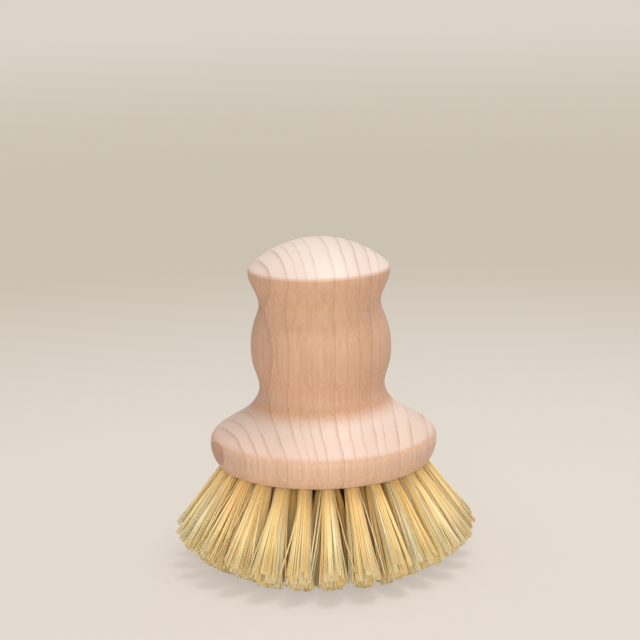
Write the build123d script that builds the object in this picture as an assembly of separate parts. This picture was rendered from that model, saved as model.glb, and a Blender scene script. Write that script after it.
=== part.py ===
from build123d import *
import os
from math import ceil, cos, hypot, pi, radians, sin, sqrt

# Palm brush: a turned beech handle, drilled in its underside for tufts of plant
# fibre. Each tuft is doubled over and held at the end of its hole by a staple.
# The wood is one turned piece. Its drilled base is a solid of its own, below the
# plane where the handle's waist and grip begin.
# Millimetres, +Z up. The origin is on the floor, below the middle of the handle,
# and the brush stands on its cut fibre tips.

# Handle: heights are above the underside, and the fibre holds it up by stand_h
stand_h = 29.5
handle_h = 66.1
knob_r = 20.6
dome_r = 29.5
rim_round = 1.8
upper_waist_r = 17.7
upper_waist_z = 47.0
grip_r = 20.4
grip_z = 34.6
lower_waist_r = 18.25
lower_waist_z = 22.8
flange_r = 33.1
flange_z = 6.6
flange_round = 3.8
shoulder_slope = 35.0
underside_r = 30.4
underside_chamfer = 0.6

# The outline is turned in short straight steps, which keeps the facets few
outline_step = 1.75
least_steps = 2

# Shares of the way, in radius and in height, from one named ring to the next
knob_foot_shares = [(0.36, 0.4)]
grip_top_shares = [(0.48, 0.36)]
grip_foot_shares = [(0.34, 0.5)]
shoulder_shares = [(0.2, 0.44), (0.55, 0.72)]

# Holes: rings from the rim to the centre, as shares of the outer ring's radius and lean
outer_ring_r = 26.5
outer_lean = 27.0
ring_names = ["outer", "middle", "inner", "centre"]
ring_counts = [26, 13, 6, 1]
ring_r_shares = [1.0, 0.68, 0.35, 0.0]
lean_shares = [1.0, 0.56, 0.28, 0.0]
first_turn = -88.0
hole_d = 5.0
hole_sides = 12
hole_depth = 7.0
floor_wall = 0.8
overrun = 3.0

# Tufts: the doubled root in its hole, and the strands that fan out below it
root_sides = 6
root_gap = 0.05
root_sink = 0.8
strand_r = 0.58
strand_sides = 3
strand_ring_r = 1.55
ring_strands = 6
fan_out = 7.3
fan_side = 3.8
inner_fan = 3.7

# Trim: the tips are level inside level_r, cut flat at the floor, and turn up outside it
level_r = 30.0
trim_round = 12.0
foot_cut = 0.5
trim_steps = 20

# Staples
wire = 0.5
staple_gap = 0.03
fold_h = 1.6
bite = 2.2

hole_r = hole_d / 2
root_r = hole_r - root_gap
root_flat_r = root_r * cos(pi / root_sides)
base_h = hole_depth + bite + floor_wall


def between(start, end, shares):
    """The points at the given shares of radius and height from start to end."""
    return [
        (start[0] + (end[0] - start[0]) * r, start[1] + (end[1] - start[1]) * z)
        for r, z in shares
    ]


def handle_profile():
    """Half the handle's outline, from the top of the dome round to the axis."""
    dome_centre_z = handle_h - dome_r
    rim_centre_r = knob_r - rim_round
    rim_z = dome_centre_z + sqrt((dome_r - rim_round) ** 2 - rim_centre_r**2)
    reach = dome_r / (dome_r - rim_round)
    dome_end = (rim_centre_r * reach, dome_centre_z + (rim_z - dome_centre_z) * reach)

    rim = (knob_r, rim_z)
    upper_waist = (upper_waist_r, upper_waist_z)
    grip = (grip_r, grip_z)
    lower_waist = (lower_waist_r, lower_waist_z)
    flange = (flange_r, flange_z)
    slope = radians(shoulder_slope)
    shoulder = (
        flange_r - flange_round * (1 - sin(slope)),
        flange_z + flange_round * cos(slope),
    )
    side_points = [rim] + between(rim, upper_waist, knob_foot_shares) + [upper_waist]
    side_points += between(upper_waist, grip, grip_top_shares) + [grip]
    side_points += between(grip, lower_waist, grip_foot_shares) + [lower_waist]
    side_points += between(lower_waist, shoulder, shoulder_shares) + [shoulder]

    dome = TangentArc((0, handle_h), dome_end, tangent=(1, 0))
    knob_edge = TangentArc(dome_end, rim, tangent=dome % 1)
    side = Spline(*side_points, tangents=[(0, -1), (cos(slope), -sin(slope))])
    flange_edge = TangentArc(shoulder, flange, tangent=side % 1)
    foot = TangentArc(flange, (underside_r, 0), tangent=(0, -1))
    outline = [(0, handle_h)]
    for curve in [dome, knob_edge, side, flange_edge, foot]:
        steps = max(least_steps, ceil(curve.length / outline_step))
        outline += [curve @ (i / steps) for i in range(1, steps + 1)]
    return make_face(Polyline(*outline, (0, 0), close=True))


def seat(ring):
    """The plane of a hole's mouth at angle 0: Z runs into the wood, X outward."""
    lean = radians(outer_lean * lean_shares[ring])
    return Plane(
        origin=(outer_ring_r * ring_r_shares[ring], 0, stand_h),
        x_dir=(cos(lean), 0, sin(lean)),
        z_dir=(-sin(lean), 0, cos(lean)),
    )


def turns(ring):
    """One rotation about the axis for each hole of a ring."""
    step = 360 / ring_counts[ring]
    return [Rot(0, 0, first_turn + step * i) for i in range(ring_counts[ring])]


def staple(gap):
    """A U of square wire over the fold, its legs past the hole's end, grown by gap."""
    half_span = (root_flat_r + root_r) / 2
    crown_z = hole_depth - fold_h - wire / 2
    leg_end = hole_depth + bite
    thick = wire + 2 * gap
    leg_h = leg_end - crown_z + wire / 2 + 2 * gap
    crown = Pos(0, 0, crown_z) * Box(thick, 2 * (half_span + gap), thick)
    leg = Box(thick, thick, leg_h)
    leg_z = (leg_end + crown_z - wire / 2) / 2
    leg_y = half_span - wire / 2
    return crown + Pos(0, leg_y, leg_z) * leg + Pos(0, -leg_y, leg_z) * leg


def trim_z(radius):
    """Height of the cut tips at a distance from the axis."""
    return max(0, radius - level_r) ** 2 / (2 * trim_round) - foot_cut


def strand(mouth, across, side, fan_x, fan_y):
    """A straight strand from a place in the root, drawn out to its place in the fan."""
    start = mouth.from_local_coords(Vector(across, side, root_sink))
    end = mouth.from_local_coords(Vector(fan_x, fan_y, -stand_h))
    way = (end - start).normalized()
    axis_point = mouth.from_local_coords(Vector(0, 0, root_sink))
    inward = axis_point - start if across or side else mouth.x_dir
    length = (end - start).length
    for _ in range(trim_steps):
        tip = start + way * length
        length += (tip.Z - trim_z(hypot(tip.X, tip.Y))) / -way.Z / 2
    section = Plane(origin=start, x_dir=inward, z_dir=way) * RegularPolygon(strand_r, strand_sides)
    return extrude(section, length, way)


def tuft(ring):
    """A doubled root with its staple's channel, fused with its strands."""
    mouth = seat(ring)
    out, side = (fan_out, fan_side) if ring == 0 else (inner_fan, inner_fan)
    root = extrude(RegularPolygon(root_r, root_sides), hole_depth - root_gap)
    strands = [strand(mouth, 0, 0, 0, 0)]
    for i in range(ring_strands):
        turn = 2 * pi * i / ring_strands
        strands.append(
            strand(
                mouth,
                strand_ring_r * cos(turn),
                strand_ring_r * sin(turn),
                out * cos(turn),
                side * sin(turn),
            )
        )
    body = mouth * (root - staple(staple_gap)) + strands
    floor = Pos(0, 0, -stand_h / 2) * Box(4 * flange_r, 4 * flange_r, stand_h)
    return body - floor


wood = revolve(Plane.XZ * handle_profile(), Axis.Z)
underside_edge = wood.edges().sort_by(Axis.Z)[0]
wood = Pos(0, 0, stand_h) * chamfer(underside_edge, underside_chamfer)
base_top = Plane.XY.offset(stand_h + base_h)
rings = range(len(ring_names))
hole_section = Pos(0, 0, -overrun) * RegularPolygon(hole_r, hole_sides)
cutter = extrude(hole_section, hole_depth + overrun)
cutters = []
staples = []
parts = {}
for ring in rings:
    mouth = seat(ring)
    hole = mouth * (cutter + staple(staple_gap))
    ring_tuft = tuft(ring)
    ring_staple = mouth * staple(0)
    for number, turn in enumerate(turns(ring), start=1):
        cutters.append(turn * hole)
        staples.append(turn * ring_staple)
        parts[f"tuft_{ring_names[ring]}_{number:02d}"] = turn * ring_tuft

parts["handle"] = split(wood, base_top, keep=Keep.TOP)
parts["drilled_base"] = split(wood, base_top, keep=Keep.BOTTOM) - cutters
parts["wire_staples"] = Compound(children=[s.solid() for s in staples])

os.makedirs("parts", exist_ok=True)
for name, shape in parts.items():
    export_step(shape, f"parts/{name}.step")
print(len(parts), "nodes,", sum(ring_counts) * (ring_strands + 1), "strands")
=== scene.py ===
import bpy
import bmesh
from math import cos, hypot, pi, radians, sin
from mathutils import Matrix, Vector


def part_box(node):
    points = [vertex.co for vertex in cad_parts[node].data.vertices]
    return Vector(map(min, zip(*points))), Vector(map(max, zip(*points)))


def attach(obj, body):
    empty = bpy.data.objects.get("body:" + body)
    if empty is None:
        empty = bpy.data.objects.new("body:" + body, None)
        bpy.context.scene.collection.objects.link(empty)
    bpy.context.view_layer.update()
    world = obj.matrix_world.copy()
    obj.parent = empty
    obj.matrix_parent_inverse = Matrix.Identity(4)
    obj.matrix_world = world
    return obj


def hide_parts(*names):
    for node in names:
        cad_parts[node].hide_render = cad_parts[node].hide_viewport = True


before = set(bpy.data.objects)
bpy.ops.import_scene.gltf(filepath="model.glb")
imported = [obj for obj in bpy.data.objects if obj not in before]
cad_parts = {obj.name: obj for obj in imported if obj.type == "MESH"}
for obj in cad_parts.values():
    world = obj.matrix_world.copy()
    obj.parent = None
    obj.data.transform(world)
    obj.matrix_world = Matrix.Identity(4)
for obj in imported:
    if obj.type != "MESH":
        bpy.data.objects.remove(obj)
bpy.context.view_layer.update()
mm = 0.001


# The brush as the CAD has it, in millimetres
brush = {
    "standHeight": 29.5,  # the fibre holds the wood this far off the floor
    "rings": ["outer", "middle", "inner", "centre"],
    "counts": [26, 13, 6, 1],
    "ringRadii": [26.5, 18.02, 9.275, 0.0],
    "leans": [27.0, 15.12, 7.56, 0.0],  # degrees
    "firstTurn": -88.0,  # degrees, the first tuft of each ring
    "holeRadius": 2.5,
    "holeDepth": 7.0,
}


def tuftNodes(ring):
    name = brush["rings"][ring]
    return [f"tuft_{name}_{i:02d}" for i in range(1, brush["counts"][ring] + 1)]


# Camera

camera = {
    "distance": 550.0,  # mm from the point looked at
    "elevation": 12.573,  # degrees
    "roll": -1.6245,
    "focalPixels": 1899.1,
    "imagePixels": 640.0,
    "sensor": 36.0,
    "clip": (0.01, 20.0),  # metres
    "lookAt": (-0.058, 0.0, 71.38),
}


def placeCamera():
    data = bpy.data.cameras.new("camera")
    data.sensor_width = camera["sensor"]
    data.lens = camera["focalPixels"] * camera["sensor"] / camera["imagePixels"]
    data.clip_start, data.clip_end = camera["clip"]
    view = bpy.data.objects.new("camera", data)
    bpy.context.scene.collection.objects.link(view)
    el = radians(camera["elevation"])
    roll = radians(camera["roll"])
    forward = Vector((0, cos(el), -sin(el)))
    right = Vector((1, 0, 0))
    up = right.cross(forward)
    xAxis = cos(roll) * right + sin(roll) * up
    yAxis = -sin(roll) * right + cos(roll) * up
    place = Matrix((xAxis, yAxis, -forward)).transposed().to_4x4()
    place.translation = (Vector(camera["lookAt"]) - forward * camera["distance"]) * mm
    view.matrix_world = place
    bpy.context.scene.camera = view


placeCamera()
print("camera placed")


# Colours are written as they look on screen, from 0 to 255
def colour(red, green, blue):
    parts = []
    for part in (red, green, blue):
        part /= 255
        parts.append(part / 12.92 if part <= 0.04045 else ((part + 0.055) / 1.055) ** 2.4)
    return (*parts, 1.0)


# Node trees for materials and for shapes are written with these
def addNode(tree, kind, **settings):
    node = tree.nodes.new(kind)
    for name, value in settings.items():
        setattr(node, name, value)
    return node


def join(tree, source, target):
    if isinstance(source, bpy.types.NodeSocket):
        tree.links.new(source, target)
    else:
        target.default_value = source


def noise(tree, place, detail=2.0):
    node = addNode(tree, "ShaderNodeTexNoise")
    join(tree, place, node.inputs["Vector"])
    node.inputs["Scale"].default_value = 1.0
    node.inputs["Detail"].default_value = detail
    return node.outputs


def between(tree, value, low, high, start=0.0, end=1.0, kind="SMOOTHSTEP"):
    node = addNode(tree, "ShaderNodeMapRange", interpolation_type=kind)
    given = {"Value": value, "From Min": low, "From Max": high, "To Min": start, "To Max": end}
    for name, source in given.items():
        join(tree, source, node.inputs[name])
    return node.outputs[0]


def blend(tree, share, first, second):
    node = addNode(tree, "ShaderNodeMix", data_type="RGBA")
    for i, source in ((0, share), (6, first), (7, second)):  # its sockets for a share and two colours
        join(tree, source, node.inputs[i])
    return node.outputs[2]


# Each stop is a place from 0 to 1 and the colour there
def ramp(tree, value, stops):
    node = addNode(tree, "ShaderNodeValToRGB")
    marks = node.color_ramp.elements
    for mark, (place, shade) in zip(marks, (stops[0], stops[-1])):
        mark.position = place
        mark.color = shade
    for place, shade in stops[1:-1]:
        marks.new(place).color = shade
    join(tree, value, node.inputs[0])
    return node.outputs[0]


def newMaterial(name):
    material = bpy.data.materials.new(name)
    material.use_nodes = True
    tree = material.node_tree
    shader = tree.nodes["Principled BSDF"]
    return material, tree, shader


# Arithmetic on sockets or plain numbers, for either kind of tree
class Sums:
    def __init__(self, tree):
        self.tree = tree

    def math(self, operation, a, b=None):
        node = addNode(self.tree, "ShaderNodeMath", operation=operation)
        for i, value in enumerate((a, b)):
            if value is not None:
                join(self.tree, value, node.inputs[i])
        return node.outputs[0]

    def add(self, a, b):
        return self.math("ADD", a, b)

    def sub(self, a, b):
        return self.math("SUBTRACT", a, b)

    def mul(self, a, b):
        return self.math("MULTIPLY", a, b)

    def div(self, a, b):
        return self.math("DIVIDE", a, b)

    def vector(self, x, y, z):
        node = addNode(self.tree, "ShaderNodeCombineXYZ")
        for i, value in enumerate((x, y, z)):
            join(self.tree, value, node.inputs[i])
        return node.outputs[0]

    def parts(self, vector):
        node = addNode(self.tree, "ShaderNodeSeparateXYZ")
        join(self.tree, vector, node.inputs[0])
        return node.outputs

    def vectorMath(self, operation, a, b=None):
        node = addNode(self.tree, "ShaderNodeVectorMath", operation=operation)
        join(self.tree, a, node.inputs[0])
        if b is not None:
            join(self.tree, b, node.inputs["Scale"] if operation == "SCALE" else node.inputs[1])
        return node.outputs["Value" if operation in ("DOT_PRODUCT", "LENGTH") else "Vector"]


# Turned handle

handle = {
    "cadNodes": ["handle", "drilled_base"],
    "undersideRadius": 29.8,  # mm, out to the chamfer
    "heightSlack": 0.01,  # mm, for points that lie on the edge of the drilled part
    "radiusSlack": 0.1,
    "finerSteps": 3,  # rows for each step of the CAD's outline
    "around": 224,
    "holeSides": 32,
    "sharpAngle": 30.0,  # degrees
}


# The CAD's outline as (radius, height) in metres, from the top of the dome to the underside
def cadOutline():
    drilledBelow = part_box("drilled_base")[1].z - handle["heightSlack"] * mm
    drilledWithin = (handle["undersideRadius"] - handle["radiusSlack"]) * mm
    widest = {}
    for name in handle["cadNodes"]:
        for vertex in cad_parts[name].data.vertices:
            radius = hypot(vertex.co.x, vertex.co.y)
            if vertex.co.z >= drilledBelow or radius >= drilledWithin:
                height = round(vertex.co.z, 6)  # to a thousandth of a millimetre
                widest[height] = max(radius, widest.get(height, 0))
    return [(widest[height], height) for height in sorted(widest, reverse=True)]


# A smooth run through the outline's points, with its last step, the chamfer, left straight
def smoothOutline():
    points = [Vector(p) for p in cadOutline()]
    run, chamferEnd = points[:-1], points[-1]
    before = Vector((-run[1].x, run[1].y))
    ends = [before] + run + [chamferEnd]
    smooth = []
    for i in range(1, len(run)):
        p0, p1, p2, p3 = ends[i - 1], ends[i], ends[i + 1], ends[i + 2]
        for j in range(handle["finerSteps"]):
            t = j / handle["finerSteps"]
            smooth.append(
                0.5 * (2 * p1 + (p2 - p0) * t + (2 * p0 - 5 * p1 + 4 * p2 - p3) * t**2
                       + (3 * p1 - p0 - 3 * p2 + p3) * t**3)
            )
    return smooth + [run[-1], chamferEnd]


def turnHandle():
    outline = smoothOutline()
    shape = bmesh.new()
    top = shape.verts.new((0, 0, outline[0].y))
    rows = []
    for point in outline[1:]:
        row = []
        for i in range(handle["around"]):
            turn = 2 * pi * i / handle["around"]
            row.append(shape.verts.new((point.x * cos(turn), point.x * sin(turn), point.y)))
        rows.append(row)
    last = len(rows) - 1
    for i in range(handle["around"]):
        j = (i + 1) % handle["around"]
        shape.faces.new((top, rows[0][i], rows[0][j]))
        for k in range(last):
            shape.faces.new((rows[k][i], rows[k + 1][i], rows[k + 1][j], rows[k][j]))
    shape.faces.new(list(reversed(rows[last])))
    bmesh.ops.recalc_face_normals(shape, faces=shape.faces)
    mesh = bpy.data.meshes.new("turnedHandle")
    shape.to_mesh(mesh)
    shape.free()
    piece = bpy.data.objects.new("turnedHandle", mesh)
    bpy.context.scene.collection.objects.link(piece)
    return piece


# Sets a modifier's inputs by their identifiers, keeps the result as a plain mesh and drops the modifier
def applyTree(piece, tree, values):
    modifier = piece.modifiers.new(tree.name, "NODES")
    modifier.node_group = tree
    for item in tree.interface.items_tree:
        if item.item_type == "SOCKET" and item.in_out == "INPUT" and item.name in values:
            modifier[item.identifier] = values[item.name]
    bpy.context.view_layer.update()
    graph = bpy.context.evaluated_depsgraph_get()
    made = bpy.data.meshes.new_from_object(piece.evaluated_get(graph), depsgraph=graph)
    piece.modifiers.remove(modifier)
    piece.data = made
    made.name = piece.name
    return piece


# A tree with a geometry in and out, and inputs by name for whole numbers and for the rest
def newTree(name, counts, numbers):
    tree = bpy.data.node_groups.new(name, "GeometryNodeTree")
    tree.interface.new_socket("Geometry", in_out="INPUT", socket_type="NodeSocketGeometry")
    tree.interface.new_socket("Geometry", in_out="OUTPUT", socket_type="NodeSocketGeometry")
    for labels, kind in ((counts, "NodeSocketInt"), (numbers, "NodeSocketFloat")):
        for label in labels:
            tree.interface.new_socket(label, in_out="INPUT", socket_type=kind)
    return tree, addNode(tree, "NodeGroupInput").outputs, addNode(tree, "NodeGroupOutput").inputs


# Drills one ring of holes into the handle's underside
def drillTree(material):
    tree, given, result = newTree("drillRing", ["Holes"], [
        "Ring Radius", "Lean", "First Turn", "Underside", "Hole Radius", "Hole Depth",
    ])
    s = Sums(tree)
    index = addNode(tree, "GeometryNodeInputIndex").outputs[0]
    turn = s.add(given["First Turn"], s.div(s.mul(index, 2 * pi), given["Holes"]))
    place = s.vector(
        s.mul(given["Ring Radius"], s.math("COSINE", turn)),
        s.mul(given["Ring Radius"], s.math("SINE", turn)),
        given["Underside"],
    )
    points = addNode(tree, "GeometryNodePoints")
    join(tree, given["Holes"], points.inputs["Count"])
    join(tree, place, points.inputs["Position"])
    drill = addNode(tree, "GeometryNodeMeshCylinder")
    drill.inputs["Vertices"].default_value = handle["holeSides"]
    join(tree, given["Hole Radius"], drill.inputs["Radius"])
    join(tree, s.mul(given["Hole Depth"], 2), drill.inputs["Depth"])  # its middle lies on the underside
    tilt = addNode(tree, "FunctionNodeEulerToRotation")
    join(tree, s.vector(0, s.mul(given["Lean"], -1), turn), tilt.inputs[0])
    copies = addNode(tree, "GeometryNodeInstanceOnPoints")
    join(tree, points.outputs[0], copies.inputs["Points"])
    join(tree, drill.outputs["Mesh"], copies.inputs["Instance"])
    join(tree, tilt.outputs[0], copies.inputs["Rotation"])
    whole = addNode(tree, "GeometryNodeRealizeInstances")
    join(tree, copies.outputs[0], whole.inputs[0])
    cut = addNode(tree, "GeometryNodeMeshBoolean", operation="DIFFERENCE", solver="MANIFOLD")
    join(tree, given["Geometry"], cut.inputs["Mesh 1"])
    join(tree, whole.outputs[0], cut.inputs["Mesh 2"])
    finish = addNode(tree, "GeometryNodeSetMaterial")
    join(tree, cut.outputs["Mesh"], finish.inputs["Geometry"])
    finish.inputs["Material"].default_value = material
    join(tree, finish.outputs[0], result["Geometry"])
    return tree


# Fibre tufts

fibres = {
    "pieces": {  # each with its ring, its first tuft and how many tufts it has
        "outerRightTufts": (0, 0, 13),
        "outerLeftTufts": (0, 13, 13),
        "middleTufts": (1, 0, 13),
        "innerTufts": (2, 0, 6),
        "centreTuft": (3, 0, 1),
    },
    "perTuft": 430,
    "sides": 3,  # round a fibre
    "segments": 3,  # along it
    "thickness": 0.46,  # mm across
    "thicknessPlay": (0.8, 1.15),
    "rootRadius": 1.75,
    "rootSink": 2.5,  # how far up its hole a fibre is modelled
    "crowding": 0.44,  # 0.5 spreads the fibres evenly, less crowds them at the outside
    "fibreTurn": 2.39996,  # radians round the hole from one fibre to the next
    "tuftTurn": 1.7,  # and from one tuft's first fibre to the next tuft's
    "waist": [0.5, -1.2, -0.8, -0.4],  # mm each ring's tufts draw in halfway down, or swell if negative
    "fanOut": [8.0, 3.8, 3.8, 3.8],  # half widths of each ring's fan at the floor, radially
    "fanSide": [3.7, 5.8, 4.8, 4.0],  # and sideways
    "levelRadius": 30.0,  # inside this the tips are level with the floor
    "trimRound": 12.0,
    "tipAboveFloor": 0.1,
    "unevenCut": 1.0,  # mm that a fibre, a bunch, a tuft or a tuft's edge may be cut short
    "bunchCut": 2.2,
    "tuftCut": 0.9,
    "edgeCut": 1.2,
    "edgePower": 4.0,  # more keeps that cut nearer to the tuft's edge
    "sway": 4.0,  # mm, how unevenly a tuft's fan spreads
    "swayApart": 50.0,  # mm between two tufts in the sway's pattern
    "bunchSize": 2.3,
    "bunchesApart": 40.0,  # bunches between two tufts in their pattern
    "gather": 0.32,  # how far a bunch's tips draw together, 1 is all the way
    "straying": 0.25,  # mm, every fibre's tip
    "strayShare": 0.02,  # loose fibres
    "strayReach": 5.5,
    "bend": 0.22,  # mm
    "strayBend": 2.0,  # bends added to a loose fibre's own
    "leastSlope": 0.000001,  # stands in for 0 where a fibre hangs straight down
    "tintShares": (0.7, 0.3),  # of a fibre's own tint and of its bunch's
    "seed": 7,
    "seedStep": 20,  # from one ring to the next
    "draws": ["loose", "tipOut", "tipSide", "cutOnce", "cutTwice", "tint", "bowOut", "bowSide",
              "thickness", "looseSide"],  # a fibre's random draws, in the order of their seeds
    "tuftDraws": {"cut": 78.233, "tint": 12.9898},  # a tuft's, as rates of a sine
    "drawScale": 437.58,
}


def fibreTree(material):
    tree, given, result = newTree("fibreTufts", ["Tufts", "Fibres", "Segments", "Seed"], [
        "Ring Radius", "Lean", "First Turn", "Turn Step", "Underside", "Root Radius", "Root Sink",
        "Crowding", "Waist", "Fan Out", "Fan Side", "Level Radius", "Trim Round", "Tip Height",
        "Uneven Cut", "Bunch Cut", "Tuft Cut", "Edge Cut", "Sway", "Bunch Size", "Gather",
        "Straying", "Stray Share", "Stray Reach", "Bend", "Thickness",
    ])
    s = Sums(tree)

    def random(low, high, draw):
        node = addNode(tree, "FunctionNodeRandomValue", data_type="FLOAT")
        floats = [i for i in node.inputs if i.type == "VALUE"]
        join(tree, low, floats[0])
        join(tree, high, floats[1])
        join(tree, s.add(given["Seed"], fibres["draws"].index(draw) + 1), node.inputs["Seed"])
        return [o for o in node.outputs if o.type == "VALUE"][0]

    def tuftDraw(draw):
        wave = s.math("SINE", s.mul(s.add(tuft, 1.0), fibres["tuftDraws"][draw]))
        return s.math("FRACT", s.mul(wave, fibres["drawScale"]))

    # Which tuft, and where in the hole: a sunflower spread
    index = addNode(tree, "GeometryNodeInputIndex").outputs[0]
    tuft = s.math("FLOOR", s.div(s.add(index, 0.5), given["Fibres"]))
    within = s.sub(index, s.mul(tuft, given["Fibres"]))
    share = s.math("POWER", s.div(s.add(within, 0.5), given["Fibres"]), given["Crowding"])
    spin = s.add(s.mul(within, fibres["fibreTurn"]), s.mul(tuft, fibres["tuftTurn"]))
    reach = s.mul(given["Root Radius"], share)
    across = s.mul(reach, s.math("COSINE", spin))
    side = s.mul(reach, s.math("SINE", spin))

    # How far out and sideways of the tuft's own axis the fibre runs by the floor
    fanX = s.mul(s.div(across, given["Root Radius"]), given["Fan Out"])
    fanY = s.mul(s.div(side, given["Root Radius"]), given["Fan Side"])
    swayPlace = s.vector(fanX, fanY, s.mul(tuft, fibres["swayApart"] * mm))
    sway = noise(tree, s.vectorMath("SCALE", swayPlace, s.div(1.0, given["Bunch Size"])))
    swayDraw = s.parts(sway["Color"])
    stray = s.math("LESS_THAN", random(0.0, 1.0, "loose"), given["Stray Share"])
    fanX = s.add(fanX, s.mul(given["Sway"], s.sub(swayDraw[0], 0.5)))
    fanY = s.add(fanY, s.mul(given["Sway"], s.sub(swayDraw[1], 0.5)))

    # Bunches of fibre that draw together towards their tips, each with its own cut and shade
    bunch = addNode(tree, "ShaderNodeTexVoronoi", voronoi_dimensions="2D")
    bunch.inputs["Scale"].default_value = 1.0
    apart = s.mul(tuft, fibres["bunchesApart"])
    bunchX = s.add(s.div(fanX, given["Bunch Size"]), apart)
    join(tree, s.vector(bunchX, s.div(fanY, given["Bunch Size"]), 0.0), bunch.inputs["Vector"])
    middle = s.parts(bunch.outputs["Position"])
    bunchDraw = s.parts(bunch.outputs["Color"])
    awayX = s.sub(s.mul(s.sub(middle[0], apart), given["Bunch Size"]), fanX)
    awayY = s.sub(s.mul(middle[1], given["Bunch Size"]), fanY)
    strayX = s.mul(given["Straying"], random(-1.0, 1.0, "tipOut"))
    strayY = s.mul(given["Straying"], random(-1.0, 1.0, "tipSide"))
    fanX = s.add(fanX, s.add(s.mul(given["Gather"], awayX), strayX))
    fanY = s.add(fanY, s.add(s.mul(given["Gather"], awayY), strayY))
    fanY = s.add(fanY, s.mul(s.mul(stray, given["Stray Reach"]), random(-1.0, 1.0, "looseSide")))
    down = s.add(given["Underside"], given["Root Sink"])

    # The root and the way to the tip, as radial, sideways and up
    sine = s.math("SINE", given["Lean"])
    cosine = s.math("COSINE", given["Lean"])
    rootR = s.add(given["Ring Radius"], s.sub(s.mul(across, cosine), s.mul(given["Root Sink"], sine)))
    rootZ = s.add(given["Underside"], s.add(s.mul(across, sine), s.mul(given["Root Sink"], cosine)))
    runX = s.sub(fanX, across)
    wayR = s.add(s.mul(runX, cosine), s.mul(down, sine))
    wayZ = s.sub(s.mul(runX, sine), s.mul(down, cosine))
    wayY = s.sub(fanY, side)
    way = s.vectorMath("NORMALIZE", s.vector(wayR, wayY, wayZ))
    out = s.parts(way)[0]
    fall = s.mul(s.parts(way)[2], -1)

    # Length to the floor, or to the trimmed shoulder that turns up outside the level part
    flat = s.div(s.sub(rootZ, given["Tip Height"]), fall)
    beyond = s.sub(rootR, given["Level Radius"])
    a = s.mul(out, out)
    b = s.add(s.mul(s.mul(beyond, out), 2), s.mul(s.mul(given["Trim Round"], fall), 2))
    c = s.sub(s.mul(beyond, beyond), s.mul(s.mul(given["Trim Round"], 2), s.sub(rootZ, given["Tip Height"])))
    root = s.math("SQRT", s.sub(s.mul(b, b), s.mul(s.mul(a, c), 4)))
    curved = s.div(s.sub(root, b), s.math("MAXIMUM", s.mul(a, 2), fibres["leastSlope"]))
    isLevel = s.math("LESS_THAN", s.add(rootR, s.mul(out, flat)), given["Level Radius"])
    length = s.add(s.mul(isLevel, flat), s.mul(s.sub(1.0, isLevel), curved))
    chance = s.mul(random(0.0, 1.0, "cutOnce"), random(0.0, 1.0, "cutTwice"))
    length = s.sub(length, s.mul(given["Uneven Cut"], s.mul(chance, chance)))
    length = s.sub(length, s.mul(given["Bunch Cut"], s.mul(bunchDraw[0], bunchDraw[0])))
    length = s.sub(length, s.mul(given["Tuft Cut"], tuftDraw("cut")))
    fromMiddle = s.math("ABSOLUTE", s.div(side, given["Root Radius"]))
    edge = s.math("POWER", fromMiddle, fibres["edgePower"])
    length = s.sub(length, s.mul(given["Edge Cut"], edge))

    # Turned round the axis to its own tuft
    turn = s.add(given["First Turn"], s.mul(tuft, given["Turn Step"]))

    def turned(vector):
        node = addNode(tree, "ShaderNodeVectorRotate", rotation_type="Z_AXIS")
        join(tree, vector, node.inputs["Vector"])
        join(tree, turn, node.inputs["Angle"])
        return node.outputs[0]

    points = addNode(tree, "GeometryNodePoints")
    join(tree, s.mul(given["Tufts"], given["Fibres"]), points.inputs["Count"])
    join(tree, turned(s.vector(rootR, side, rootZ)), points.inputs["Position"])

    # What a fibre's finish and bend need to know, kept on it
    def keep(geometry, name, value, kind="FLOAT"):
        node = addNode(tree, "GeometryNodeStoreNamedAttribute", data_type=kind, domain="POINT")
        join(tree, geometry, node.inputs["Geometry"])
        node.inputs["Name"].default_value = name
        join(tree, value, [i for i in node.inputs if i.name == "Value" and i.enabled][0])
        return node.outputs[0]

    bow = s.mul(given["Bend"], s.add(1.0, s.mul(stray, fibres["strayBend"])))
    ownShare, bunchShare = fibres["tintShares"]
    tint = s.add(s.mul(random(0.0, 1.0, "tint"), ownShare), s.mul(bunchDraw[1], bunchShare))
    held = keep(points.outputs[0], "tint", tint)
    held = keep(held, "tuftTint", tuftDraw("tint"))
    bowX = s.mul(random(-1.0, 1.0, "bowOut"), bow)
    bowY = s.mul(random(-1.0, 1.0, "bowSide"), bow)
    bowY = s.sub(bowY, s.mul(side, s.div(given["Waist"], given["Root Radius"])))
    held = keep(held, "bow", turned(s.vector(bowX, bowY, 0.0)), "FLOAT_VECTOR")

    # The fibre itself: a bar of unit length and width
    bar = addNode(tree, "GeometryNodeMeshCylinder", fill_type="NGON")
    bar.inputs["Vertices"].default_value = fibres["sides"]
    bar.inputs["Radius"].default_value = 0.5
    bar.inputs["Depth"].default_value = 1.0
    join(tree, given["Segments"], bar.inputs["Side Segments"])
    lift = addNode(tree, "GeometryNodeTransform")
    join(tree, bar.outputs["Mesh"], lift.inputs["Geometry"])
    lift.inputs["Translation"].default_value = (0, 0, 0.5)
    here = addNode(tree, "GeometryNodeInputPosition").outputs[0]
    marked = keep(lift.outputs[0], "along", s.parts(here)[2])

    aim = addNode(tree, "FunctionNodeAlignRotationToVector", axis="Z")
    join(tree, turned(way), aim.inputs["Vector"])
    copies = addNode(tree, "GeometryNodeInstanceOnPoints")
    join(tree, held, copies.inputs["Points"])
    join(tree, marked, copies.inputs["Instance"])
    join(tree, aim.outputs[0], copies.inputs["Rotation"])
    thick = s.mul(given["Thickness"], random(*fibres["thicknessPlay"], "thickness"))
    join(tree, s.vector(thick, thick, length), copies.inputs["Scale"])
    whole = addNode(tree, "GeometryNodeRealizeInstances")
    join(tree, copies.outputs[0], whole.inputs[0])

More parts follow.
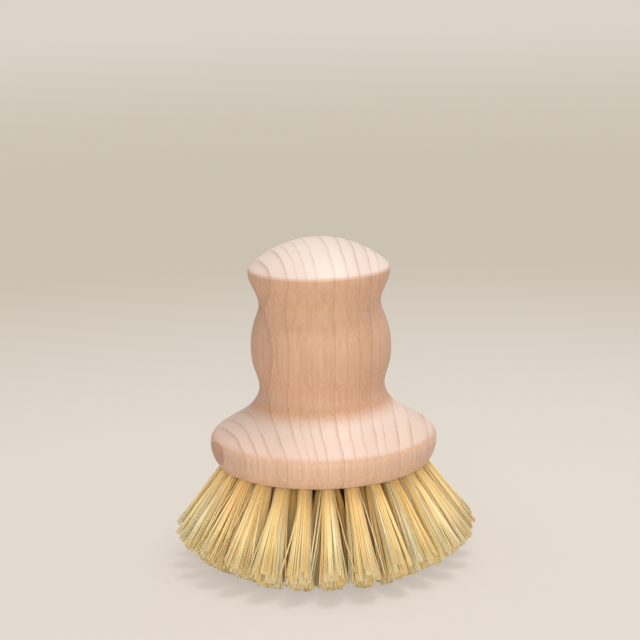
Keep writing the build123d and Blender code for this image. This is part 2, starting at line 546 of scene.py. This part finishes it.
    def read(name, kind="FLOAT"):
        node = addNode(tree, "GeometryNodeInputNamedAttribute", data_type=kind)
        node.inputs["Name"].default_value = name
        return node.outputs["Attribute"]

    # A slight bow, nothing at either end and the whole of it halfway
    along = read("along")
    arch = s.mul(s.mul(along, s.sub(1.0, along)), 4.0)
    bend = addNode(tree, "GeometryNodeSetPosition")
    join(tree, whole.outputs[0], bend.inputs["Geometry"])
    join(tree, s.vectorMath("SCALE", read("bow", "FLOAT_VECTOR"), arch), bend.inputs["Offset"])
    smooth = addNode(tree, "GeometryNodeSetShadeSmooth")
    join(tree, bend.outputs[0], smooth.inputs["Geometry"])
    finish = addNode(tree, "GeometryNodeSetMaterial")
    join(tree, smooth.outputs[0], finish.inputs["Geometry"])
    finish.inputs["Material"].default_value = material
    join(tree, finish.outputs[0], result["Geometry"])
    return tree


def growTufts(name, tree, material):
    ring, first, count = fibres["pieces"][name]
    step = 2 * pi / brush["counts"][ring]
    piece = bpy.data.objects.new(name, bpy.data.meshes.new(name))
    bpy.context.scene.collection.objects.link(piece)
    applyTree(piece, tree, {
        "Tufts": count,
        "Fibres": fibres["perTuft"],
        "Ring Radius": brush["ringRadii"][ring] * mm,
        "Lean": radians(brush["leans"][ring]),
        "First Turn": radians(brush["firstTurn"]) + step * first,
        "Turn Step": step,
        "Underside": brush["standHeight"] * mm,
        "Root Radius": fibres["rootRadius"] * mm,
        "Root Sink": fibres["rootSink"] * mm,
        "Crowding": fibres["crowding"],
        "Waist": fibres["waist"][ring] * mm,
        "Fan Out": fibres["fanOut"][ring] * mm,
        "Fan Side": fibres["fanSide"][ring] * mm,
        "Level Radius": fibres["levelRadius"] * mm,
        "Trim Round": fibres["trimRound"] * mm,
        "Tip Height": fibres["tipAboveFloor"] * mm,
        "Uneven Cut": fibres["unevenCut"] * mm,
        "Bunch Cut": fibres["bunchCut"] * mm,
        "Tuft Cut": fibres["tuftCut"] * mm,
        "Edge Cut": fibres["edgeCut"] * mm,
        "Sway": fibres["sway"] * mm,
        "Bunch Size": fibres["bunchSize"] * mm,
        "Gather": fibres["gather"],
        "Straying": fibres["straying"] * mm,
        "Stray Share": fibres["strayShare"],
        "Stray Reach": fibres["strayReach"] * mm,
        "Bend": fibres["bend"] * mm,
        "Thickness": fibres["thickness"] * mm,
        "Segments": fibres["segments"],
        "Seed": fibres["seed"] + fibres["seedStep"] * ring + first,
    })
    piece.data.materials.clear()
    piece.data.materials.append(material)
    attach(piece, "root")
    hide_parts(*tuftNodes(ring)[first:first + count])
    return piece


straw = {
    "tints": [(0.0, (250, 206, 134)), (0.3, (255, 222, 150)), (0.65, (255, 236, 178)),
              (1.0, (255, 252, 232))],
    "tuftShades": (0.97, 1.0),
    # painted shade and bounced light near the root, where the wood shades the fibres
    "rootShadeTint": (1.0, 0.87, 0.68),
    "rootFade": (0.0, 0.8),  # shares of the fibre's length over which that goes over to its own tint
    # painted shade inside the brush, where the inner tufts lie in the outer ones' shade
    "insideShadeTint": (1.0, 0.88, 0.6),
    "insideRadius": 21.0,
    "cutColour": (190, 140, 84),
    "cutShare": 0.25,
    "cutLength": (0.96, 0.995),  # shares of the fibre's length over which that sets in
    "cutTints": (0.3, 0.1),  # it starts below the first of these tints, and is full below the second
    "roughness": 0.55,
    "specular": 0.4,
    "sheen": 0.4,
    "sheenRoughness": 0.5,
    "sheenTint": (255, 240, 205),
}


def strawMaterial():
    material, tree, shader = newMaterial("plantFibre")
    s = Sums(tree)

    def attribute(name):
        return addNode(tree, "ShaderNodeAttribute", attribute_name=name).outputs["Fac"]

    ownTint = ramp(tree, attribute("tint"), [(at, colour(*tint)) for at, tint in straw["tints"]])

    # Painted shade: deeper in colour near the root, where the wood shades the fibres and casts its colour on
    # them, and inside the brush, where the tufts shade each other; some of the cut ends are darker
    along = attribute("along")
    shade = s.vectorMath("MULTIPLY", ownTint, straw["rootShadeTint"])
    shade = blend(tree, between(tree, along, *straw["rootFade"]), shade, ownTint)
    # Painted shade: fibres near the axis are darker and more golden
    inside = s.vectorMath("MULTIPLY", shade, straw["insideShadeTint"])
    where = addNode(tree, "ShaderNodeTexCoord").outputs["Object"]
    fromAxis = s.vectorMath("LENGTH", s.vectorMath("MULTIPLY", where, (1, 1, 0)))
    nearAxis = between(tree, fromAxis, straw["insideRadius"] * mm, brush["ringRadii"][0] * mm, 1.0, 0.0)
    shade = blend(tree, nearAxis, shade, inside)
    atTip = between(tree, along, *straw["cutLength"])
    atTip = s.mul(atTip, between(tree, attribute("tint"), *straw["cutTints"]))
    shade = blend(tree, s.mul(atTip, straw["cutShare"]), shade, colour(*straw["cutColour"]))
    tuftShade = between(tree, attribute("tuftTint"), 0.0, 1.0, *straw["tuftShades"], "LINEAR")
    join(tree, s.vectorMath("SCALE", shade, tuftShade), shader.inputs["Base Color"])
    shader.inputs["Roughness"].default_value = straw["roughness"]
    shader.inputs["Specular IOR Level"].default_value = straw["specular"]
    shader.inputs["Sheen Weight"].default_value = straw["sheen"]
    shader.inputs["Sheen Roughness"].default_value = straw["sheenRoughness"]
    shader.inputs["Sheen Tint"].default_value = colour(*straw["sheenTint"])
    return material


strawFinish = strawMaterial()
tuftTree = fibreTree(strawFinish)
for name in fibres["pieces"]:
    tufts = growTufts(name, tuftTree, strawFinish)
    print(tufts.name, len(tufts.data.polygons), "faces")


# Beech: pale pinkish end grain where the cut faces up or down, tan side grain where it stands

beech = {
    # mm across the grain, the end of each year's growth
    "ringPlaces": [-34.2, -29.8, -26.4, -22.8, -18.4, -13.9, -11.3, -8.5, -5.2, 0.3,
                   4.5, 8.5, 12.6, 15.6, 20.2, 25.0, 30.6],
    "reach": 40.0,  # mm to either side of the axis that are counted
    "ringSlope": 0.216,  # how far the rings swing from the front to the back, for each mm
    "ringBend": -0.006,  # and how much more or less of that for each mm sideways
    "ringTilt": -0.02,  # how far they shift for each mm up from the middle
    "middle": 63.0,
    # A pattern's scales for each mm, and its mm of sway
    "ringSways": [((0.055, 0.055, 0.018), 1.6), ((0.3, 0.3, 0.05), 0.7), ((1.4, 1.4, 0.2), 0.16)],
    "lineFall": 8.0,  # how steeply the late wood darkens towards its line
    "earlyFall": 12.0,
    "yearPlay": 0.06,  # how much one year's wood differs in shade from another's
    "grainLeanedForShade": (0.05, -0.05, 0.997),  # which way the fibres of the wood run, leaned to the right and front so that the left keeps more tan side grain: painted shade there
    "turn": (0.5, 0.88),  # how far the surface faces along them where side grain gives way to end grain
    "knobTurnWithLightBand": (0.1, 0.75),  # and on the knob, above these heights, where the wider turn also paints a pale band of light down the rim
    "knob": (78.0, 84.0),
    "underside": (0.85, 0.95),
    "drift": (38.0, 52.0),  # heights between which the wood's colour changes; the darker upper colour reaching down into the concave neck is partly painted shade
    "hair": (3.2, 3.2, 0.07),  # scales of the fine hairs' pattern for each mm
    "hairTurn": 0.16,  # how much the hairs tell in the turn to end grain, the shade and the gloss
    "hairShade": 0.24,
    "hairRoughness": 0.8,
    "endGrain": (227, 207, 195),
    "endGrainLow": (224, 195, 178),  # near the flange
    "endLine": (192, 148, 126),
    "lineDepth": (0.4, 0.95),
    "linePatches": (0.07, 0.07, 0.03),  # scales of where those lines are faint or strong
    "linePatchEdges": (0.38, 0.62),
    "pores": (2.6, 2.6, 0.6),
    "poreShade": 0.1,
    "rays": (0.22, 2.4, 0.3),
    "rayShade": 0.06,
    "sideGrain": (214, 170, 137),
    "sideGrainLow": (222, 183, 153),
    "streaks": (0.9, 0.9, 0.02),
    "streakEdges": (0.36, 0.68),
    "sideStreak": (0.93, 0.89, 0.87),  # tints
    "sideLine": (0.74, 0.64, 0.58),
    "sideLineDepth": 0.75,
    "earlyLine": (1.05, 1.07, 1.09),
    "sidePatches": (0.12, 0.12, 0.03),
    "sidePatchEdges": (0.4, 0.6),
    "faintest": 0.3,  # what is left of the side lines in their faint patches
    "fleckPlaces": (1.8, 1.8, 0.3),
    "fleckEdges": (0.67, 0.75),
    "fleck": (0.66, 0.54, 0.46),
    "fleckDepth": 0.55,
    "toolMarks": (0.05, 0.05, 2.4),
    "toolShade": 0.07,
    "toolRelief": 0.6,
    "tangent": (0.95, 0.95, 1.02),  # tint of the sides that lie along the rings
    "tangentFacing": (0.35, 0.95),
    "rim": (0.95, 0.87, 0.79),  # painted shade: a darker tint just before side grain gives way to end grain, strongest in the neck
    "rimRise": (0.28, 0.55),
    "rimFall": (0.85, 0.55),
    "rimHeights": (37.0, 43.0),
    "rimShares": (0.4, 0.8),  # shares of that painted shade below and above those heights
    "heart": (0.8, 0.7, 0.64),  # tint of the wood past the first ring
    "heartEdge": (-0.1, 0.05),  # mm
    "roughness": (0.58, 0.48),  # side grain, end grain
    "relief": 0.05,  # mm
    "reliefStrength": 0.5,
    "fineDetail": 3.0,  # of the pores and the streaks
}


def beechMaterial():
    material, tree, shader = newMaterial("beech")
    s = Sums(tree)
    where = addNode(tree, "ShaderNodeTexCoord")
    place = s.vectorMath("SCALE", where.outputs["Object"], 1 / mm)

    def stretched(scales, detail=2.0):
        return noise(tree, s.vectorMath("MULTIPLY", place, scales), detail)["Fac"]

    def swing(value, amount):
        return s.mul(s.sub(value, 0.5), amount)

    def tinted(base, share, tint):
        return blend(tree, share, base, s.vectorMath("MULTIPLY", base, tint))

    # Growth rings: a ramp counts them across the grain, and each ends in a thin dark line
    x, y, z = s.parts(place)
    swept = s.mul(y, s.add(beech["ringSlope"], s.mul(x, beech["ringBend"])))
    across = s.add(s.add(x, swept), s.mul(s.sub(z, beech["middle"]), beech["ringTilt"]))
    for scales, amount in beech["ringSways"]:
        across = s.add(across, swing(stretched(scales), amount))
    places = beech["ringPlaces"]
    stops = [(0.0, (0, 0, 0, 1))]
    for i, edge in enumerate(places, start=1):
        share = i / (len(places) + 1)
        stops.append(((edge / beech["reach"] + 1) / 2, (share, share, share, 1)))
    stops.append((1.0, (1, 1, 1, 1)))
    counted = ramp(tree, between(tree, across, -beech["reach"], beech["reach"], kind="LINEAR"), stops)
    counted = s.mul(counted, len(places) + 1.0)
    grown = s.math("FRACT", counted)
    late = s.math("POWER", grown, beech["lineFall"])
    early = s.math("POWER", s.sub(1.0, grown), beech["earlyFall"])
    year = addNode(tree, "ShaderNodeTexWhiteNoise", noise_dimensions="1D")
    join(tree, s.math("FLOOR", counted), year.inputs["W"])
    yearShade = s.add(1.0, swing(year.outputs["Value"], beech["yearPlay"]))

    # Which grain the cut shows; the grain's lean also paints shade on the left, where less of the pale end
    # grain shows
    hair = stretched(beech["hair"])
    upright = s.vectorMath("DOT_PRODUCT", where.outputs["Normal"], beech["grainLeanedForShade"])
    isUnder = between(tree, s.mul(upright, -1), *beech["underside"])
    # Paler below, darker above; in the neck the darker colour is partly painted shade
    isLow = between(tree, z, *beech["drift"], 1.0, 0.0)
    upright = s.add(upright, swing(hair, beech["hairTurn"]))
    # On the knob the pale end grain reaches far down the rim: partly grain, partly painted light
    isKnob = between(tree, z, *beech["knob"])
    knobTop = s.mul(isKnob, between(tree, upright, *beech["knobTurnWithLightBand"]))
    otherTop = s.mul(s.sub(1.0, isKnob), between(tree, upright, *beech["turn"]))
    isEnd = s.add(s.add(knobTop, otherTop), isUnder)

    # End grain
    pores = stretched(beech["pores"], beech["fineDetail"])
    rays = stretched(beech["rays"])
    poreShade = s.add(swing(pores, beech["poreShade"]), swing(rays, beech["rayShade"]))
    endColour = blend(tree, isLow, colour(*beech["endGrain"]), colour(*beech["endGrainLow"]))
    depth = between(tree, stretched(beech["linePatches"]), *beech["linePatchEdges"], *beech["lineDepth"])
    endColour = blend(tree, s.mul(late, depth), endColour, colour(*beech["endLine"]))
    endColour = s.vectorMath("SCALE", endColour, s.add(yearShade, poreShade))

    # Side grain: long streaks, fine hairs, ring lines, short flecks and the marks of the turning tool
    sideColour = blend(tree, isLow, colour(*beech["sideGrain"]), colour(*beech["sideGrainLow"]))
    streak = between(tree, stretched(beech["streaks"], beech["fineDetail"]), *beech["streakEdges"])
    sideColour = tinted(sideColour, streak, beech["sideStreak"])
    shown = between(tree, stretched(beech["sidePatches"]), *beech["sidePatchEdges"], beech["faintest"], 1.0)
    lineDepth = s.mul(s.mul(late, late), s.mul(shown, beech["sideLineDepth"]))
    sideColour = tinted(sideColour, lineDepth, beech["sideLine"])
    sideColour = tinted(sideColour, s.mul(early, shown), beech["earlyLine"])
    fleck = between(tree, stretched(beech["fleckPlaces"]), *beech["fleckEdges"])
    sideColour = tinted(sideColour, s.mul(fleck, beech["fleckDepth"]), beech["fleck"])
    toolMarks = stretched(beech["toolMarks"])
    fineShade = s.add(swing(hair, beech["hairShade"]), swing(toolMarks, beech["toolShade"]))
    sideColour = s.vectorMath("SCALE", sideColour, s.add(yearShade, fineShade))
    sideways = s.math("ABSOLUTE", s.vectorMath("DOT_PRODUCT", where.outputs["Normal"], (1, 0, 0)))
    sideColour = tinted(sideColour, between(tree, sideways, *beech["tangentFacing"]), beech["tangent"])

    # The two together, with painted shade where one turns into the other and the darker heart
    wood = blend(tree, isEnd, sideColour, endColour)
    # Painted shade: darker where the surface turns from side grain to end grain, most of all at the neck
    # under the grip
    isRimShade = s.mul(between(tree, upright, *beech["rimRise"]), between(tree, upright, *beech["rimFall"]))
    isRimShade = s.mul(isRimShade, between(tree, z, *beech["rimHeights"], *beech["rimShares"]))
    wood = tinted(wood, isRimShade, beech["rim"])
    heartFrom, heartTo = [places[0] + edge for edge in beech["heartEdge"]]
    wood = tinted(wood, between(tree, across, heartFrom, heartTo, 1.0, 0.0), beech["heart"])
    join(tree, wood, shader.inputs["Base Color"])
    gloss = s.add(isEnd, swing(hair, beech["hairRoughness"]))
    join(tree, between(tree, gloss, 0.0, 1.0, *beech["roughness"], "LINEAR"), shader.inputs["Roughness"])
    relief = addNode(tree, "ShaderNodeBump")
    relief.inputs["Strength"].default_value = beech["reliefStrength"]
    relief.inputs["Distance"].default_value = beech["relief"] * mm
    sideRelief = s.add(hair, s.mul(toolMarks, beech["toolRelief"]))
    join(tree, blend(tree, isEnd, sideRelief, pores), relief.inputs["Height"])
    join(tree, relief.outputs[0], shader.inputs["Normal"])
    return material


beechFinish = beechMaterial()
turnedHandle = turnHandle()
holeTree = drillTree(beechFinish)
for ring in range(len(brush["rings"])):
    applyTree(turnedHandle, holeTree, {
        "Holes": brush["counts"][ring],
        "Ring Radius": brush["ringRadii"][ring] * mm,
        "Lean": radians(brush["leans"][ring]),
        "First Turn": radians(brush["firstTurn"]),
        "Underside": brush["standHeight"] * mm,
        "Hole Radius": brush["holeRadius"] * mm,
        "Hole Depth": brush["holeDepth"] * mm,
    })
for polygon in turnedHandle.data.polygons:
    polygon.use_smooth = True
turnedHandle.data.set_sharp_from_angle(angle=radians(handle["sharpAngle"]))
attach(turnedHandle, "root")
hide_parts(*handle["cadNodes"])
print("handle turned,", len(turnedHandle.data.polygons), "faces")


# Staples keep the CAD's shape

wire = {
    "colour": (190, 188, 182),
    "roughness": 0.35,
}


def wireMaterial():
    material, _, shader = newMaterial("stapleWire")
    shader.inputs["Base Color"].default_value = colour(*wire["colour"])
    shader.inputs["Metallic"].default_value = 1.0
    shader.inputs["Roughness"].default_value = wire["roughness"]
    return material


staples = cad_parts["wire_staples"]
staples.data.materials.clear()
staples.data.materials.append(wireMaterial())
print("staples dressed")


# Floor and light

setting = {
    "floorColour": (220, 213, 205),
    "floorRoughness": 0.8,
    "nearColour": (229, 219, 208),  # how the lit floor looks beside the brush
    "paling": 0.6,  # how much of it pales the brush's shadow
    "middleColour": (203, 194, 179),
    "farColour": (220, 212, 200),
    "fade": (0.08, 0.5),  # metres from the brush over which the floor goes over to its middle colour
    "farFade": (0.6, 2.4),
    "floorSize": 30.0,
    "worldStrength": 0.56,
    "worldColour": (1, 0.985, 0.96, 1),
    "lamps": {  # where each stands and aims in metres, how wide it is, its power and its colour
        "overheadLight": ((0.16, -0.04, 0.92), (0, 0, 0.05), 0.36, 3.65, (1, 1, 1)),
        "frontLight": ((0.0, -1.0, 0.28), (0, 0, 0.04), 0.5, 3.95, (1, 1, 1)),
        "leftWindowLight": ((-0.8, 0.65, 0.35), (0, 0, 0.03), 1.2, 0.8, (1.0, 0.97, 0.93)),
        "rightWindowLight": ((0.8, 0.65, 0.3), (0, 0, 0.03), 1.2, 1.9, (0.86, 0.94, 1.0)),
    },
}


def layFloor():
    bpy.ops.mesh.primitive_plane_add(size=setting["floorSize"])
    floor = bpy.context.object
    floor.name = "floor"
    material, tree, shader = newMaterial("paleFloor")
    s = Sums(tree)
    shader.inputs["Base Color"].default_value = colour(*setting["floorColour"])
    shader.inputs["Roughness"].default_value = setting["floorRoughness"]
    where = addNode(tree, "ShaderNodeTexCoord").outputs["Object"]
    rays = addNode(tree, "ShaderNodeLightPath").outputs
    seen = s.math("MAXIMUM", rays["Is Camera Ray"], rays["Is Glossy Ray"])
    seen = s.math("MAXIMUM", seen, rays["Is Transmission Ray"])
    away = s.vectorMath("LENGTH", where)
    far = addNode(tree, "ShaderNodeEmission")
    fade = between(tree, away, *setting["fade"])
    shade = blend(tree, fade, colour(*setting["nearColour"]), colour(*setting["middleColour"]))
    shade = blend(tree, between(tree, away, *setting["farFade"]), shade, colour(*setting["farColour"]))
    join(tree, shade, far.inputs["Color"])
    unlit = between(tree, fade, 0.0, 1.0, setting["paling"], 1.0, "LINEAR")
    mix = addNode(tree, "ShaderNodeMixShader")
    join(tree, s.mul(seen, unlit), mix.inputs[0])
    join(tree, shader.outputs[0], mix.inputs[1])
    join(tree, far.outputs[0], mix.inputs[2])
    join(tree, mix.outputs[0], tree.nodes["Material Output"].inputs["Surface"])
    floor.data.materials.append(material)


def areaLight(name, place, aim, size, power, tint):
    data = bpy.data.lights.new(name, "AREA")
    data.shape = "DISK"
    data.size = size
    data.energy = power
    data.color = tint
    lamp = bpy.data.objects.new(name, data)
    bpy.context.scene.collection.objects.link(lamp)
    lamp.location = place
    lamp.rotation_euler = (Vector(aim) - Vector(place)).to_track_quat("-Z", "Y").to_euler()


layFloor()
world = bpy.data.worlds.new("studio")
bpy.context.scene.world = world
world.use_nodes = True
backdrop = world.node_tree.nodes["Background"]
backdrop.inputs["Color"].default_value = setting["worldColour"]
backdrop.inputs["Strength"].default_value = setting["worldStrength"]
for name, lamp in setting["lamps"].items():
    areaLight(name, *lamp)
bpy.context.scene.view_settings.view_transform = "Standard"
print("lit")
